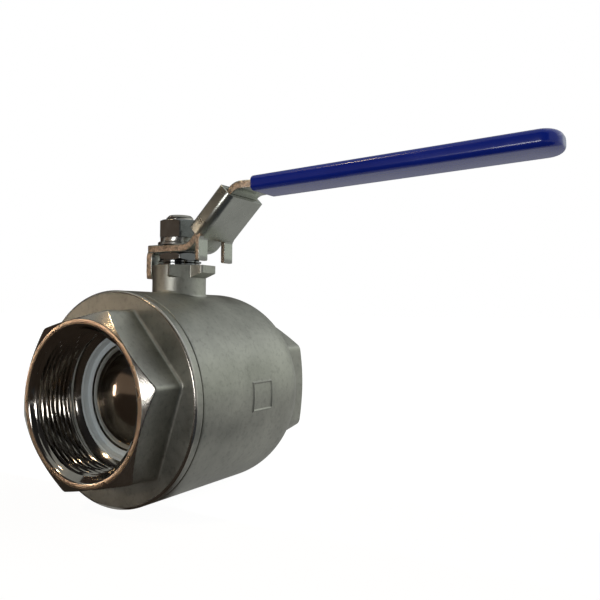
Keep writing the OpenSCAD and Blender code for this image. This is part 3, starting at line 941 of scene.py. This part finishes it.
# The floor: what the camera sees of it is paler than what it lights.
FLOOR_HALF = 40
SEEN_GLOW, LIT_GLOW = 0.72, 0.24
floor = bpy.data.meshes.new("floor")
floor.from_pydata([(x * FLOOR_HALF, y * FLOOR_HALF, FLOOR_Z)
                   for x, y in ((-1, -1), (1, -1), (1, 1), (-1, 1))], [], [(0, 1, 2, 3)])
floor_obj = bpy.data.objects.new("floor", floor)
scene.collection.objects.link(floor_obj)
m = bpy.data.materials.new("pale_floor")
m.use_nodes = True
shader = m.node_tree.nodes["Principled BSDF"]
shader.inputs["Base Color"].default_value = (0.26, 0.26, 0.25, 1)
shader.inputs["Roughness"].default_value = 0.9
shader.inputs["Specular IOR Level"].default_value = 0.0
shader.inputs["Emission Color"].default_value = (1, 1, 1, 1)
camera_only = m.node_tree.nodes.new("ShaderNodeLightPath")
gain = m.node_tree.nodes.new("ShaderNodeMath")
gain.operation = "MULTIPLY"
gain.inputs[1].default_value = SEEN_GLOW
m.node_tree.links.new(camera_only.outputs["Is Camera Ray"], gain.inputs[0])
glow = m.node_tree.nodes.new("ShaderNodeMath")
glow.operation = "ADD"
glow.inputs[1].default_value = LIT_GLOW
m.node_tree.links.new(gain.outputs["Value"], glow.inputs[0])
m.node_tree.links.new(glow.outputs["Value"], shader.inputs["Emission Strength"])
floor.materials.append(m)

# The world: white to the camera, dimmer as light.
WORLD_LIGHT = 0.34
world = bpy.data.worlds.new("studio")
scene.world = world
world.use_nodes = True
tree = world.node_tree
tree.nodes.clear()
out = tree.nodes.new("ShaderNodeOutputWorld")
seen = tree.nodes.new("ShaderNodeBackground")
seen.inputs["Color"].default_value = (1, 1, 1, 1)
seen.inputs["Strength"].default_value = 1.0
lit = tree.nodes.new("ShaderNodeBackground")
lit.inputs["Color"].default_value = (0.96, 1.0, 0.95, 1)
lit.inputs["Strength"].default_value = WORLD_LIGHT
rays = tree.nodes.new("ShaderNodeLightPath")
mix = tree.nodes.new("ShaderNodeMixShader")
tree.links.new(rays.outputs["Is Camera Ray"], mix.inputs["Fac"])
tree.links.new(lit.outputs["Background"], mix.inputs[1])
tree.links.new(seen.outputs["Background"], mix.inputs[2])
tree.links.new(mix.outputs["Shader"], out.inputs["Surface"])


def lamp(name, position, size, power, colour, size_y=None):
    """An area lamp that points at the ball."""
    data = bpy.data.lights.new(name, "AREA")
    data.energy = power
    data.size = size
    if size_y:
        data.shape = "RECTANGLE"
        data.size_y = size_y
    data.color = colour
    obj = bpy.data.objects.new(name, data)
    obj.location = position
    obj.rotation_mode = "QUATERNION"
    obj.rotation_quaternion = (Vector(position) - MIDDLE).to_track_quat("Z", "Y")
    scene.collection.objects.link(obj)


def bearing(azimuth, distance, z):
    """A point at an azimuth from -Y towards +X, at a height above the pipe axis."""
    a = math.radians(azimuth)
    return (MIDDLE.x + distance * math.sin(a), MIDDLE.y - distance * math.cos(a), MIDDLE.z + z)


lamp("overhead", (0.9, 0.9, 1.5), 2.0, 6.5, (0.95, 0.98, 1.0))
lamp("window", bearing(4, 1.5, 0.09), 0.50, 3.6, (1.0, 0.99, 0.97), 0.22)
lamp("warm_lamp", bearing(-28, 1.2, 1.2), 0.10, 2.2, (1.0, 0.74, 0.45))
lamp("warm_strip", bearing(-49, 0.9, -0.05), 0.025, 0.45, (1.0, 0.80, 0.60), 0.26)

card("dark_room", (0, -3.0, 0.9), (0, 1, 0), 8, 5, (0.42, 0.40, 0.40), 0.05)
card("dark_left", (-2.0, 1.0, 0.6), (1, -0.3, 0), 4.5, 3, (0.55, 0.38, 0.30), 0.07)
card("dark_rug", (-0.45, -1.18, FLOOR_Z + 0.002), (0, 0, 1), 2.1, 2.45, (0.45, 0.33, 0.24), 0.06)
card("dark_mat", (0.42, -0.06, FLOOR_Z + 0.003), (0, 0, 1), 0.62, 0.40, (0.30, 0.33, 0.38), 0.10)
card("warm_side", (-1.5, -2.0, 0.20), (0.6, 1, 0), 2.2, 1.3, (0.62, 0.47, 0.35), 0.26)
card("bright_back", (1.6, 2.2, 0.55), (-0.6, -0.86, 0), 3.6, 1.9, (0.95, 1.0, 0.92), 0.62)

# The view: azimuth from -Y towards +X, then elevation and roll.
LENS, SENSOR = 39.06, 36
AZIMUTH, ELEVATION, ROLL = math.radians(30.924), math.radians(-1.305), math.radians(0.581)
DISTANCE = 0.436
target = MIDDLE + Vector((0.0815, 0.028, 0.063))
back = Vector((math.sin(AZIMUTH) * math.cos(ELEVATION), -math.cos(AZIMUTH) * math.cos(ELEVATION),
               math.sin(ELEVATION)))
level = Vector((math.cos(AZIMUTH), math.sin(AZIMUTH), 0))
upright = back.cross(level)
right = level * math.cos(ROLL) + upright * math.sin(ROLL)
up = upright * math.cos(ROLL) - level * math.sin(ROLL)
cam_data = bpy.data.cameras.new("camera")
cam_data.lens = LENS
cam_data.sensor_width = SENSOR
cam_data.clip_start = 0.01
cam_data.clip_end = 100
cam = bpy.data.objects.new("camera", cam_data)
scene.collection.objects.link(cam)
placed = Matrix((right, up, back)).transposed().to_4x4()
placed.translation = target + back * DISTANCE
cam.matrix_world = placed
scene.camera = cam

scene.view_settings.view_transform = "Standard"
scene.view_settings.look = "None"
scene.view_settings.exposure = 0
scene.view_settings.gamma = 1
